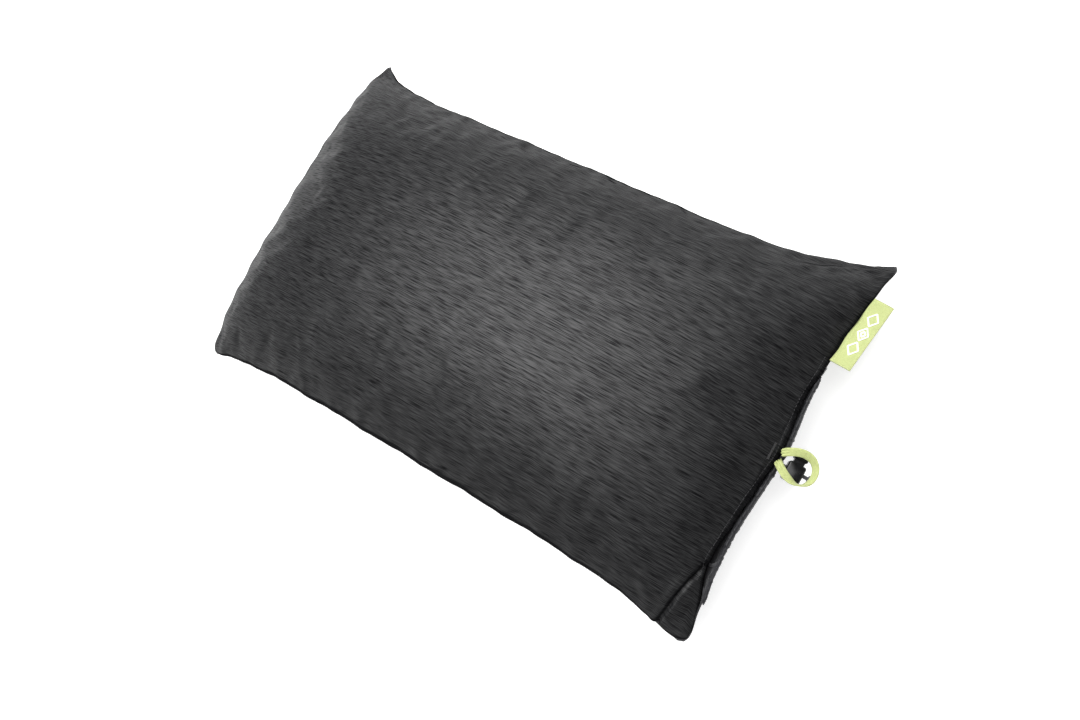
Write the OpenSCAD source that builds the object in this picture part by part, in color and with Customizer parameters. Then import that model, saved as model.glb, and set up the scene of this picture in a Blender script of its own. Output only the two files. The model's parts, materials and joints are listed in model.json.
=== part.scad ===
// Camp pillow: an air cell with a foam topper in a fabric cover, with a stow sack tucked into
// one end. Millimetres. +Z is up, the pillow lies along X, and the slit end faces +X.
// The origin is the middle of the flat patch that the pillow rests on.

/* [Pillow] */
// Length over the corners, before they are rounded
pillow_length = 454; // [424:5:484]
// Width over the corners, before they are rounded
pillow_width = 288; // [273:5:303]
// Height of the filled pillow at its middle
pillow_height = 100; // [94:1:108]
// Height of the side seam half way along a side
seam_height = 42; // [40:1:44]
// Height of the side seam at the corners
corner_height = 15; // [13:1:18]
// How far the front seam is drawn in between the corners
front_inset = 12; // [10:1:14]
// How far the back seam is drawn in between the corners
back_inset = 24; // [18:1:26]
// How far both end seams are drawn in between the corners
end_inset = 6; // [5:1:7]
// How far each corner is rounded back along both of its sides
corner_cut = 5; // [3:1:6]
// Thickness of the cover fabric
fabric = 1.2; // [0.8:0.1:1.4]

/* [Filling] */
// Height of the top of the air cell at its middle
cell_height = 72; // [68:1:76]
// Height of the underside of the air cell over the floor
cell_lift = 5.6; // [5.4:0.1:6]
// Thickness of the air cell's skin
skin = 0.8; // [0.6:0.1:1]
// Number of I-beam baffles in the air cell
baffle_count = 3; // [3]

/* [Slit and stow sack] */
// Where the slit ends towards the back, along Y
slit_back = 53; // [50:1:56]
// Where the slit ends towards the front, along Y
slit_front = -98; // [-100:1:-94]
// How far the slit's lips part half way along
slit_open = 9; // [8:0.5:10]
// How far the lower lip stands out past the upper one
lower_out = 2; // [1:0.5:3]
// Depth of the stow sack, from its mouth to its closed end
sack_depth = 115; // [100:5:125]
// Diameter of the drawcord
cord_d = 2.2; // [2:0.1:2.3]

/* [Cord lock] */
// Length of the lock body along the plunger
lock_length = 13; // [12.8:0.1:13.5]
// Width of the lock body along the cord
lock_width = 12; // [11.5:0.5:13]
// Thickness of the lock body
lock_thick = 9.5; // [9.3:0.1:10]
// Travel of the plunger
press_travel = 2.4; // [2:0.1:2.4]
// How far the lock leans down along its cord, in degrees
lock_lean = 15; // [10:1:18]

/* [Loop and label] */
// Width of the loop's ribbon
ribbon_w = 6; // [5:0.5:6]
// Thickness of the loop's ribbon
ribbon_t = 1; // [0.8:0.1:1.2]
// Reach of the loop from the seam to the middle of its ribbon at the tip
loop_reach = 24; // [22:1:28]
// Length of the label along the seam
label_length = 52; // [48:1:54]
// How far the label stands out from the seam
label_depth = 14; // [12:1:16]

/* [Valve] */
// Radius of the valve's bore
valve_bore = 8; // [7:0.5:8]
// Wall of the valve's neck
valve_wall = 2.5; // [2:0.1:2.5]
// Depth of the plug on the valve's cap
plug_depth = 2.5; // [2:0.1:2.5]

/* [Hidden] */

heather = [0.17, 0.17, 0.18];
shell_black = [0.10, 0.10, 0.11];
nylon_black = [0.13, 0.13, 0.14];
lime = [0.80, 0.88, 0.45];
plastic_black = [0.05, 0.05, 0.06];
foam_white = [0.88, 0.87, 0.82];
cell_grey = [0.42, 0.44, 0.46];
rubber_grey = [0.30, 0.31, 0.32];
steel = [0.70, 0.71, 0.73];

half_l = pillow_length / 2;
half_w = pillow_width / 2;
top_rise = pillow_height - seam_height;
base_depth = seam_height + 8;       // deeper than the seam is high, so the base comes out flat
ear_power = 8;                      // how near the corners the drawn-in sides flare out
round_power = 24;                   // how near the corners their rounding starts
droop_power = 4;                    // how near the corners the seam drops
crown_power = 2.4;                  // how broad the crown is
fullness = 0.62;                    // how steeply the panels rise from the seam
seam_gap = 0.25;                    // each panel's rim stays this far from the seam's middle
upper_lift = 2;                     // share of slit_open by which the upper lip rises
slit_blend = 12;                    // how near the end the slit's lips part
top_grid = [36, 24];                // how many strips each surface has along X and along Y
under_grid = [33, 21];
cell_grid = [21, 15];
slit_middle_v = (slit_back + slit_front) / 2 / half_w;
slit_half_v = (slit_back - slit_front) / 2 / half_w;

// ---- The pillow's form, over u and v, which run from -1 to 1 along X and Y ----

function edge_pull(t) = 1 - pow(abs(t), ear_power);
function rounding(u, v) = corner_cut * pow(abs(u * v), round_power);
function plan_x(u, v) = u * (half_l - end_inset * edge_pull(v) - rounding(u, v));
function plan_y(u, v) = v * (half_w - (v < 0 ? front_inset : back_inset) * edge_pull(u) - rounding(u, v));
function seam_z(u, v) = corner_height
    + (seam_height - corner_height) * (1 - pow(abs(u * v), droop_power));
function dome(u, v) = pow(max(0, (1 - pow(abs(u), crown_power)) * (1 - pow(abs(v), crown_power))),
    fullness);
function slit_share(v) = max(0, 1 - pow(abs(v - slit_middle_v) / slit_half_v, 4));
function slit_near(u, v) = u > 0 ? pow(u, slit_blend) * slit_share(v) : 0;
function at(u, v, z) = [plan_x(u, v), plan_y(u, v), z];

// Cover surfaces. Each inner one has its rim on the seam's surface, drawn in by the fabric's thickness.
in_u = 1 - fabric / half_l;
in_v = 1 - fabric / half_w;
function upper_rim(u, v) = seam_z(u, v) + seam_gap + upper_lift * slit_near(u, v);
function lower_rim(u, v) = seam_z(u, v) - seam_gap - (slit_open - upper_lift) * slit_near(u, v);
function cover_top(u, v) = at(u, v, upper_rim(u, v) + (top_rise - seam_gap) * dome(u, v));
function cover_top_inside(u, v) = at(in_u * u, in_v * v,
    upper_rim(in_u * u, in_v * v) + (top_rise - seam_gap - fabric) * dome(u, v));
function lip_shift(u, v) = [lower_out * slit_near(u, v), 0, 0];
function cover_bottom(u, v) = lip_shift(u, v) + at(u, v, max(0, lower_rim(u, v) - base_depth * dome(u, v)));
function cover_bottom_inside(u, v) = lip_shift(in_u * u, in_v * v) + at(in_u * u, in_v * v,
    max(fabric, lower_rim(in_u * u, in_v * v) - (base_depth - fabric) * dome(u, v)));

// Air cell surfaces, over s and t, which run from -1 to 1 across the cell.
cell_u = 0.945;
cell_v = 0.90;
cell_rise = cell_height - seam_height;
cell_drop = 45;
weld_gap = 0.1;                     // half the space between the skins at their weld
skin_u = 1 - skin / (half_l * cell_u);
skin_v = 1 - skin / (half_w * cell_v);
function cell_seam(s, t) = seam_z(cell_u * s, cell_v * t);
function cell_at(s, t, z) = at(cell_u * s, cell_v * t, z);
function cell_top(s, t) = cell_at(s, t, cell_seam(s, t) + weld_gap + (cell_rise - weld_gap) * dome(s, t));
function cell_top_inside(s, t) = cell_at(skin_u * s, skin_v * t,
    cell_seam(skin_u * s, skin_v * t) + weld_gap + (cell_rise - weld_gap - skin) * dome(s, t));
function cell_under(s, t) =
    cell_at(s, t, max(cell_lift, cell_seam(s, t) - weld_gap - cell_drop * dome(s, t)));
function cell_under_inside(s, t) = cell_at(skin_u * s, skin_v * t,
    max(cell_lift + skin, cell_seam(skin_u * s, skin_v * t) - weld_gap - (cell_drop - skin) * dome(s, t)));

// ---- Solids from grids and rings ----

function spread(n) = [for (i = [0:n]) sin(180 * i / n - 90)];
function even(a, b, n) = [for (i = [0:n]) a + (b - a) * i / n];

// A closed solid between two surfaces, each a function of u and v that gives a point.
module slab(us, vs, upper, lower) {
    n = len(us) - 1;
    m = len(vs) - 1;
    count = (n + 1) * (m + 1);
    function id(i, j) = i * (m + 1) + j;
    points = concat([for (u = us, v = vs) upper(u, v)], [for (u = us, v = vs) lower(u, v)]);
    rim = concat([for (i = [0:n - 1]) id(i, 0)], [for (j = [0:m - 1]) id(n, j)],
        [for (i = [n:-1:1]) id(i, m)], [for (j = [m:-1:1]) id(0, j)]);
    faces = concat(
        [for (i = [0:n - 1], j = [0:m - 1]) [id(i, j), id(i, j + 1), id(i + 1, j + 1)]],
        [for (i = [0:n - 1], j = [0:m - 1]) [id(i, j), id(i + 1, j + 1), id(i + 1, j)]],
        [for (i = [0:n - 1], j = [0:m - 1])
            [count + id(i, j), count + id(i + 1, j + 1), count + id(i, j + 1)]],
        [for (i = [0:n - 1], j = [0:m - 1])
            [count + id(i, j), count + id(i + 1, j), count + id(i + 1, j + 1)]],
        [for (k = [0:len(rim) - 1]) let (a = rim[k], b = rim[(k + 1) % len(rim)])
            [a, b, count + b]],
        [for (k = [0:len(rim) - 1]) let (a = rim[k], b = rim[(k + 1) % len(rim)])
            [a, count + b, count + a]]);
    polyhedron(points, faces, convexity = 6);
}

// A closed solid through rings of points, or a closed ring of them.
module loft(rings, closed = false) {
    n = len(rings);
    k = len(rings[0]);
    spans = closed ? n : n - 1;
    sides = concat(
        [for (i = [0:spans - 1], j = [0:k - 1])
            [i * k + j, (i + 1) % n * k + j, (i + 1) % n * k + (j + 1) % k]],
        [for (i = [0:spans - 1], j = [0:k - 1])
            [i * k + j, (i + 1) % n * k + (j + 1) % k, i * k + (j + 1) % k]]);
    caps = closed ? [] : [[for (j = [0:k - 1]) j], [for (j = [k - 1:-1:0]) (n - 1) * k + j]];
    polyhedron([for (r = rings, p = r) p], concat(sides, caps), convexity = 6);
}

// A hollow sleeve, open at both ends, from outer and inner rings.
module sleeve(outer, inner) {
    n = len(outer);
    k = len(outer[0]);
    c = n * k;
    e = (n - 1) * k;
    faces = concat(
        [for (i = [0:n - 2], j = [0:k - 1]) let (b = (j + 1) % k)
            [i * k + j, (i + 1) * k + j, (i + 1) * k + b]],
        [for (i = [0:n - 2], j = [0:k - 1]) let (b = (j + 1) % k)
            [i * k + j, (i + 1) * k + b, i * k + b]],
        [for (i = [0:n - 2], j = [0:k - 1]) let (b = (j + 1) % k)
            [c + i * k + j, c + (i + 1) * k + b, c + (i + 1) * k + j]],
        [for (i = [0:n - 2], j = [0:k - 1]) let (b = (j + 1) % k)
            [c + i * k + j, c + i * k + b, c + (i + 1) * k + b]],
        [for (j = [0:k - 1]) let (b = (j + 1) % k) [j, b, c + b]],
        [for (j = [0:k - 1]) let (b = (j + 1) % k) [j, c + b, c + j]],
        [for (j = [0:k - 1]) let (b = (j + 1) % k) [e + j, c + e + b, e + b]],
        [for (j = [0:k - 1]) let (b = (j + 1) % k) [e + j, c + e + j, c + e + b]]);
    points = concat([for (r = outer, p = r) p], [for (r = inner, p = r) p]);
    polyhedron(points, faces, convexity = 6);
}

function unit(v) = v / norm(v);
function travel(path, i, closed = false) = let (n = len(path)) closed
    ? unit(path[(i + 1) % n] - path[(i + n - 1) % n])
    : unit(path[min(n - 1, i + 1)] - path[max(0, i - 1)]);

// Rings of a round section along a path, square to its travel.
function round_rings(path, r, sides, closed = false) = [for (i = [0:len(path) - 1])
    let (t = travel(path, i, closed),
        side = unit(cross(abs(t[2]) < 0.9 ? [0, 0, 1] : [1, 0, 0], t)),
        up = cross(t, side))
    [for (j = [0:sides - 1]) path[i] + r * (cos(360 * j / sides) * side + sin(360 * j / sides) * up)]];

// A block with rounded edges.
module soft_block(size, r) {
    hull() for (x = [-1, 1], y = [-1, 1], z = [-1, 1])
        translate([x * (size[0] / 2 - r), y * (size[1] / 2 - r), z * (size[2] / 2 - r)])
            sphere(r, $fn = 16);
}

// ---- Cover ----

module cover_top_panel() {
    color(heather) slab(spread(top_grid[0]), spread(top_grid[1]),
        function(u, v) cover_top(u, v), function(u, v) cover_top_inside(u, v));
}

module cover_bottom_panel() {
    color(shell_black) difference() {
        slab(spread(under_grid[0]), spread(under_grid[1]),
            function(u, v) cover_bottom_inside(u, v), function(u, v) cover_bottom(u, v));
        valve_place() cylinder(h = 30, r = valve_window, center = true, $fn = 64);
    }
}

// The binding over the raw edges, inside the seam, from one end of the slit round to the other.
binding_u = [1 - 6.6 / half_l, 1 - 1.8 / half_l];
binding_v = [1 - 6.6 / half_w, 1 - 1.8 / half_w];
binding_half = 0.2;                 // half its thickness
corner_us = [0.995, 0.985, 0.965, 0.93];
binding_path = concat(
    [for (v = even((slit_back + 10) / half_w, 1, 10)) [1, v]],
    corner_run(1, 1), [for (u = even(0.88, -0.88, 22)) [u, 1]], reversed(corner_run(-1, 1)),
    [for (v = even(1, -1, 28)) [-1, v]],
    corner_run(-1, -1), [for (u = even(-0.88, 0.88, 22)) [u, -1]], reversed(corner_run(1, -1)),
    [for (v = even(-1, (slit_front - 8) / half_w, 8)) [1, v]]);
function corner_run(su, v) = [for (u = corner_us) [su * u, v]];
function reversed(list) = [for (i = [len(list) - 1:-1:0]) list[i]];
function binding_point(p, k, side) = let (
    u = p[0] * (abs(p[0]) < 1 ? 1 : binding_u[k]),
    v = p[1] * (abs(p[1]) < 1 ? 1 : binding_v[k]))
    at(u, v, seam_z(u, v) + side * binding_half);
module seam_binding() {
    color(shell_black) loft([for (p = binding_path)
        [binding_point(p, 1, -1), binding_point(p, 0, -1), binding_point(p, 0, 1),
            binding_point(p, 1, 1)]]);
}

// Bars of thread across both ends of the slit.
bartack = [1.4, 7, 0.7];
module slit_bartacks() {
    color(nylon_black) for (y = [slit_back + 3, slit_front - 1])
        translate(lip(y) + [bartack[0] / 2 + 0.2, 0, 0])
            rotate([y < 0 ? 16 : -5, 0, 0]) cube(bartack, center = true);
}

// ---- Stow sack, its cord channels and drawcord ----

// The end seam's point at y.
function lip(y) = at(1, y / half_w, seam_z(1, y / half_w));
function parting(y) = slit_open * slit_share(y / half_w);

channel_thick = 3.8;
channel_wall = 0.45;
channel_share = 0.42;               // half its height, as a share of how far the lips part
channel_sides = 10;
channel_ys = even(slit_front + 12, slit_back - 15, 30);
exit_y = -11.3;                       // where the drawcord leaves the lower channel
lower_back = 0.6;                   // how far each channel's middle lies behind its lip
upper_back = 4.4;
function channel_middle(y, share) = lip(y) + [
    share * (lower_out * slit_share(y / half_w) - lower_back) - (1 - share) * upper_back, 0,
    upper_lift * slit_share(y / half_w) - parting(y) / 2];
function channel_ring(y, share, shrink) = [for (j = [0:channel_sides - 1]) let (a = 360 * j / channel_sides)
    channel_middle(y, share) + [-cos(a) * (channel_thick / 2 - shrink), 0,
        sin(a) * (channel_share * parting(y) - shrink)]];
module channel(share) {
    sleeve([for (y = channel_ys) channel_ring(y, share, 0)],
        [for (y = channel_ys) channel_ring(y, share, channel_wall)]);
}

module upper_cord_channel() {
    color(nylon_black) channel(0);
}

exit_point = channel_middle(exit_y, 1);
strand_rise = cord_d / 2 + 0.05;    // each strand's height off the middle of the pair
module lower_cord_channel() {
    color(nylon_black) difference() {
        channel(1);
        translate(exit_point + [2, 0, 0])
            cube([4, 2 * cord_d, 2 * cord_d + 1.6], center = true);
    }
}

eyelet_hole = [cord_d + 0.5, 2 * cord_d + 0.7];
module cord_eyelet() {
    color(plastic_black) translate(exit_point + [channel_thick / 2 + 0.45, 0, 0])
        rotate([90, 0, 90]) difference() {
            hull() for (z = [-1, 1]) translate([0, z * 1.6, 0])
                cylinder(h = 0.7, r = 2.6, center = true, $fn = 32);
            cube([eyelet_hole[0], eyelet_hole[1], 3], center = true);
        }
}

// Each strand of the cord runs from the knot through the lock and the eyelet, then along the channels.
cord_start = exit_point + [channel_thick / 2 + 1.2, 0, 0];
lean_way = [cos(lock_lean), 0, -sin(lock_lean)];
lean_up = [sin(lock_lean), 0, cos(lock_lean)];
cord_out = 17.8;                    // length of the straight part outside the eyelet
channel_end_back = slit_back - 7;
channel_end_front = slit_front + 7;
function strand_out(rise) = [for (d = [cord_out, 13, 7, 1.5]) cord_start + d * lean_way + rise * lean_up];
function along(y0, y1, n, share, r0, r1) = [for (i = [0:n]) let (y = y0 + (y1 - y0) * i / n)
    channel_middle(y, share) + [0, 0, r0 + (r1 - r0) * i / n]];
cord_route = concat(
    strand_out(strand_rise),
    [exit_point + [1.6, 0.3, strand_rise], exit_point + [0.3, 1.4, strand_rise]],
    along(exit_y + 4, channel_end_back - 4, 14, 1, strand_rise, 0),
    [channel_middle(channel_end_back - 1.2, 0.75), channel_middle(channel_end_back - 1.2, 0.25)],
    along(channel_end_back - 4, channel_end_front + 4, 22, 0, 0, 0),
    [channel_middle(channel_end_front + 1.2, 0.25), channel_middle(channel_end_front + 1.2, 0.75)],
    along(channel_end_front + 4, exit_y - 4, 14, 1, 0, -strand_rise),
    [exit_point + [0.3, -1.4, -strand_rise], exit_point + [1.6, -0.3, -strand_rise]],
    [for (i = [3:-1:0]) strand_out(-strand_rise)[i]]);
module drawcord() {
    color(nylon_black) loft(round_rings(cord_route, cord_d / 2, 8));
}

// The knot that ties both strands, past the lock: its radius at each step along the cord.
knot_form = [[0.1, 2.1], [0.8, 2.8], [1.7, 2.5], [2.6, 2.9], [3.3, 2.2]];
module cord_knot() {
    color(nylon_black) translate(cord_start + (cord_out + 0.1) * lean_way) rotate([0, lock_lean, 0])
        loft([for (p = knot_form) [for (a = [0:20:340]) [p[0], p[1] * cos(a), p[1] * sin(a)]]]);
}

// The sack lies folded flat between the cover and the underside of the air cell.
sack_us = even(0.925, 0.925 - sack_depth / half_l, 14);
sack_vs = even(-0.62, 0.32, 12);
sack_half = 1.1;
sack_wall = 0.7;
function between_z(u, v) = (max(fabric, seam_z(u, v) - (base_depth - fabric) * dome(u / in_u, v / in_v))
    + cell_under(u / cell_u, v / cell_v)[2]) / 2;
module sack_layer(us, vs, half) {
    slab([for (i = [len(us) - 1:-1:0]) us[i]], vs,
        function(u, v) at(u, v, between_z(u, v) + half),
        function(u, v) at(u, v, between_z(u, v) - half));
}
module stow_sack() {
    color(nylon_black) difference() {
        sack_layer(sack_us, sack_vs, sack_half);
        sack_layer(concat([0.94], [for (i = [0:len(sack_us) - 2]) sack_us[i]]),
            [for (j = [1:len(sack_vs) - 2]) sack_vs[j]], sack_half - sack_wall);
    }
}

// ---- Cord lock: the plunger slides along Y, the strands pass along X ----

stem = [7, 0, 6.4];
stem_end = -1.2;                    // the stem's inner end, along the plunger's axis
pocket_end = -5.5;
strand_y = cord_d / 2 + 0.1;        // the strands' place along the plunger's axis
head_thick = 2.6;
lock_rest = 8.4;                    // how far along its cord the lock rests
lock_place = cord_start + lock_rest * lean_way - [0, strand_y, 0];
module in_lock() {
    translate(lock_place) rotate([0, lock_lean, 0]) children();
}
module strand_hole(length, from_y, to_y) {
    translate([0, (from_y + to_y) / 2, 0]) cube([length, to_y - from_y, 2 * cord_d + 0.5], center = true);
}

module lock_body() {
    color(plastic_black) in_lock() difference() {
        soft_block([lock_width, lock_length, lock_thick], 1.6);
        translate([0, (pocket_end + lock_length) / 2, 0])
            cube([stem[0] + 0.5, lock_length - pocket_end, stem[2] + 0.5], center = true);
        strand_hole(lock_width + 2, strand_y - cord_d / 2 - 0.2, strand_y + cord_d / 2 + 0.2);
        for (y = [-4.6, -3.2, -1.8]) translate([lock_width / 2, y, 0])
            cube([0.9, 0.6, lock_thick - 4], center = true);
    }
}

module lock_plunger() {
    stem_top = lock_length / 2 + press_travel;
    color(plastic_black) in_lock() difference() {
        union() {
            translate([0, (stem_end + stem_top + 0.5) / 2, 0])
                cube([stem[0], stem_top + 0.5 - stem_end, stem[2]], center = true);
            translate([0, stem_top + head_thick / 2, 0]) soft_block([9.6, head_thick, 8], 1.1);
        }
        strand_hole(stem[0] + 2, 0, cord_d + press_travel + 0.4);
        for (x = [-2.4, 0, 2.4]) translate([x, stem_top + head_thick, 0])
            cube([0.7, 0.7, 5], center = true);
    }
}

spring_turns = 3;
spring_r = 2;
spring_wire = 0.35;
module lock_spring() {
    bottom = pocket_end + spring_wire / 2 + 0.1;
    top = stem_end - spring_wire / 2 - 0.1;
    steps = 14 * spring_turns;
    color(steel) in_lock() loft([for (i = [0:steps]) let (a = 360 * spring_turns * i / steps,
        out = [cos(a), 0, sin(a)], middle = spring_r * out + [0, bottom + (top - bottom) * i / steps, 0])
        [for (j = [0:5]) middle + spring_wire / 2 * (cos(60 * j) * out + [0, sin(60 * j), 0])]]);
}

// ---- Pull loop and label ----

loop_y = -8;                        // where the loop's ends are sewn in
loop_place = lip(loop_y) + [2.2, 0, upper_lift + seam_gap + 1];
loop_half = 7.2;                    // sets the loop's width
loop_part = ribbon_w / 2 + 0.4;     // half the distance between the ribbon's sewn ends
function loop_line(a) = [loop_reach * (1 - cos(a)) / 2,
    loop_half * sin(a) * sin(a / 2) + loop_part * cos(a / 2), 0];
loop_steps = 40;
module pull_loop() {
    path = [for (i = [0:loop_steps]) loop_line(360 * i / loop_steps)];
    color(lime) translate(loop_place) loft([for (i = [0:loop_steps])
        let (t = i == 0 ? [1, 0, 0] : i == loop_steps ? [-1, 0, 0] : travel(path, i),
            side = cross([0, 0, 1], t), w = ribbon_w / 2 * side, h = [0, 0, ribbon_t / 2])
        [path[i] + w - h, path[i] + w + h, path[i] - w + h, path[i] - w - h]]);
}

// The bar of thread on the hem, over the loop's sewn ends.
tack_low = cover_top(0.988, loop_y / half_w);
tack_high = cover_top(0.974, loop_y / half_w);
tack_slope = atan2(tack_high[2] - tack_low[2], tack_low[0] - tack_high[0]);
module loop_bartack() {
    color(lime) translate((tack_low + tack_high) / 2) rotate([0, tack_slope, 0])
        translate([0, 0, 0.8]) cube([1.2, 2 * loop_part + 5, 0.6], center = true);
}

label_y = 90;
label_fold = 0.45;                  // thickness of one layer
label_gap = 0.2;
label_low = lip(label_y + label_length / 2);
label_high = lip(label_y - label_length / 2);
label_roll = atan2(label_low[2] - label_high[2], label_length);
label_place = (label_low + label_high) / 2 + [0.5, 0, 1.2];
module side_label() {
    outer = label_fold + label_gap / 2;
    color(lime) translate(label_place) rotate([label_roll, 0, 0]) rotate([90, 0, 0])
        linear_extrude(label_length, center = true) difference() {
            union() {
                translate([0.3, -outer]) square([label_depth - 0.3 - outer, 2 * outer]);
                translate([label_depth - outer, 0]) circle(outer, $fn = 32);
            }
            translate([0, -label_gap / 2]) square([label_depth - outer, label_gap]);
        }
}

// ---- Filling ----

foam_us = [for (u = spread(20)) 0.86 * u];
foam_vs = [for (v = spread(14)) 0.80 * v];
module foam_topper() {
    color(foam_white) slab(foam_us, foam_vs,
        function(u, v) at(u, v, seam_z(u, v) + (top_rise - seam_gap - fabric) * dome(u / in_u, v / in_v)
            + seam_gap - 1.6),
        function(u, v) at(u, v, cell_top(u / cell_u, v / cell_v)[2] + 0.9));
}

module cell_top_skin() {
    color(cell_grey) slab(spread(cell_grid[0]), spread(cell_grid[1]),
        function(s, t) cell_top(s, t), function(s, t) cell_top_inside(s, t));
}

module cell_bottom_skin() {
    color(cell_grey) difference() {
        slab(spread(cell_grid[0]), spread(cell_grid[1]),
            function(s, t) cell_under_inside(s, t), function(s, t) cell_under(s, t));
        valve_place() cylinder(h = 40, r = valve_bore + valve_wall + 0.4, center = true, $fn = 48);
    }
}

baffle_s = 0.70;                    // the baffles' share of the cell's length
baffle_web = 0.8;
baffle_flange = 8;
baffle_gap = 1.2;
function cell_inside_top(s, t) = cell_top(s, t) - [0, 0, skin + baffle_gap];
function cell_inside_under(s, t) = cell_under(s, t) + [0, 0, skin + baffle_gap];
module baffle(t0) {
    flange_t = baffle_flange / 2 / (half_w * cell_v);
    web_t = baffle_web / 2 / (half_w * cell_v);
    color(cell_grey) loft([for (s = even(-baffle_s, baffle_s, 14)) concat(
        [for (t = [t0 - web_t, t0 - flange_t]) cell_inside_top(s, t) - [0, 0, 0.6]],
        [for (t = [t0 - flange_t, t0 + flange_t]) cell_inside_top(s, t)],
        [for (t = [t0 + flange_t, t0 + web_t]) cell_inside_top(s, t) - [0, 0, 0.6]],
        [for (t = [t0 + web_t, t0 + flange_t]) cell_inside_under(s, t) + [0, 0, 0.6]],
        [for (t = [t0 + flange_t, t0 - flange_t]) cell_inside_under(s, t)],
        [for (t = [t0 - flange_t, t0 - web_t]) cell_inside_under(s, t) + [0, 0, 0.6]])]);
}
baffle_ts = even(-0.45, 0.45, baffle_count - 1);
module baffle_front() baffle(baffle_ts[0]);
module baffle_middle() baffle(baffle_ts[1]);
module baffle_back() baffle(baffle_ts[2]);

// ---- Valve, under the back of the plain end. Local +Z points out of the pillow ----

valve_u = -0.76;
valve_v = 0.55;
valve_window = 17;                  // radius of the opening in the cover
valve_point = cover_bottom(valve_u, valve_v);
valve_out = unit(cross(cover_bottom(valve_u, valve_v + 0.05) - cover_bottom(valve_u, valve_v - 0.05),
    cover_bottom(valve_u + 0.03, valve_v) - cover_bottom(valve_u - 0.03, valve_v)));
valve_turn = atan2(valve_out[1], valve_out[0]);
module valve_place() {
    translate(valve_point) rotate([0, acos(valve_out[2]), valve_turn]) children();
}
neck_r = valve_bore + valve_wall;
neck_top = 1;
neck_depth = 8;
hinge_x = -neck_r - 3;
hinge_z = neck_top + 1.2;
pin_r = 0.8;

module valve_base() {
    color(rubber_grey) valve_place() {
        difference() {
            union() {
                translate([0, 0, -neck_depth]) cylinder(h = neck_depth + neck_top, r = neck_r, $fn = 64);
                translate([0, 0, -2.6]) cylinder(h = 1, r = 15, $fn = 64);
                for (y = [-3.4, 3.4]) translate([hinge_x, y, (hinge_z - 1.6) / 2]) {
                    cube([3, 1.6, hinge_z + 1.6], center = true);
                    translate([0, 0, (hinge_z + 1.6) / 2]) rotate([90, 0, 0])
                        cylinder(h = 1.6, r = 1.5, center = true, $fn = 32);
                }
            }
            translate([0, 0, -neck_depth - 1]) cylinder(h = neck_depth + 3, r = valve_bore, $fn = 64);
            translate([hinge_x, 0, hinge_z]) rotate([90, 0, 0])
                cylinder(h = 12, r = pin_r, center = true, $fn = 32);
        }
        for (a = [0, 90]) rotate([0, 0, a]) translate([0, 0, -5.5])
            cube([2 * valve_bore + 1, 1.6, 1], center = true);
    }
}

flap_r = valve_bore - 0.8;
module valve_flap() {
    color(foam_white) valve_place() translate([0, 0, -6.7]) {
        cylinder(h = 0.5, r = flap_r, $fn = 48);
        translate([flap_r - 0.4, 0, 0.25]) rotate([90, 0, 0]) cylinder(h = 4, r = 0.25, center = true, $fn = 16);
    }
}

cap_r = neck_r + 0.6;
cap_under = neck_top + 0.3;
module valve_cap() {
    color(rubber_grey) valve_place() difference() {
        union() {
            translate([0, 0, cap_under]) cylinder(h = 1.6, r = cap_r, $fn = 64);
            translate([0, 0, cap_under - plug_depth])
                cylinder(h = plug_depth + 0.5, r = valve_bore - 0.35, $fn = 64);
            translate([cap_r + 1, 0, cap_under + 0.8]) cube([5, 7, 1.6], center = true);
            translate([(hinge_x - cap_r) / 2 + 0.3, 0, cap_under + 0.8])
                cube([abs(hinge_x + cap_r) + 1.2, 4.4, 1.6], center = true);
            translate([hinge_x, 0, hinge_z]) rotate([90, 0, 0])
                cylinder(h = 4.4, r = 1.5, center = true, $fn = 32);
        }
        translate([0, 0, cap_under - plug_depth - 1])
            cylinder(h = plug_depth + 0.8, r = valve_bore - 1.8, $fn = 64);
        translate([hinge_x, 0, hinge_z]) rotate([90, 0, 0])
            cylinder(h = 12, r = pin_r + 0.06, center = true, $fn = 32);
    }
}

module valve_gasket() {
    color(foam_white) valve_place() translate([0, 0, neck_top + 0.06]) difference() {
        cylinder(h = 0.24, r = neck_r - 0.5, $fn = 64);
        translate([0, 0, -1]) cylinder(h = 3, r = valve_bore + 0.4, $fn = 64);
    }
}

module valve_hinge_pin() {
    color(steel) valve_place() translate([hinge_x, 0, hinge_z]) rotate([90, 0, 0])
        cylinder(h = 8.4, r = pin_r, center = true, $fn = 32);
}

// A stitched ring that faces the opening in the cover, on the outside of the fabric.
facing_steps = 40;
function on_bottom(a, r, lift) = let (u = valve_u + r * cos(a) / half_l, v = valve_v + r * sin(a) / half_w)
    cover_bottom(u, v) + lift * valve_out;
module valve_facing() {
    color(nylon_black) loft([for (i = [0:facing_steps - 1]) let (a = -360 * i / facing_steps)
        [on_bottom(a, 22.5, 0.3), on_bottom(a, 18.6, 0.3), on_bottom(a, 18.6, 1), on_bottom(a, 22.5, 1)]],
        closed = true);
}

cover_top_panel();
cover_bottom_panel();
seam_binding();
slit_bartacks();
upper_cord_channel();
lower_cord_channel();
stow_sack();
drawcord();
cord_knot();
cord_eyelet();
side_label();
pull_loop();
loop_bartack();
lock_body();
lock_plunger();
lock_spring();
foam_topper();
cell_top_skin();
cell_bottom_skin();
baffle_front();
baffle_middle();
baffle_back();
valve_base();
valve_flap();
valve_cap();
valve_gasket();
valve_hinge_pin();
valve_facing();
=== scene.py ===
import json
import math

import bmesh
import bpy
import numpy as np
from mathutils import Matrix, Vector

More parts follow.
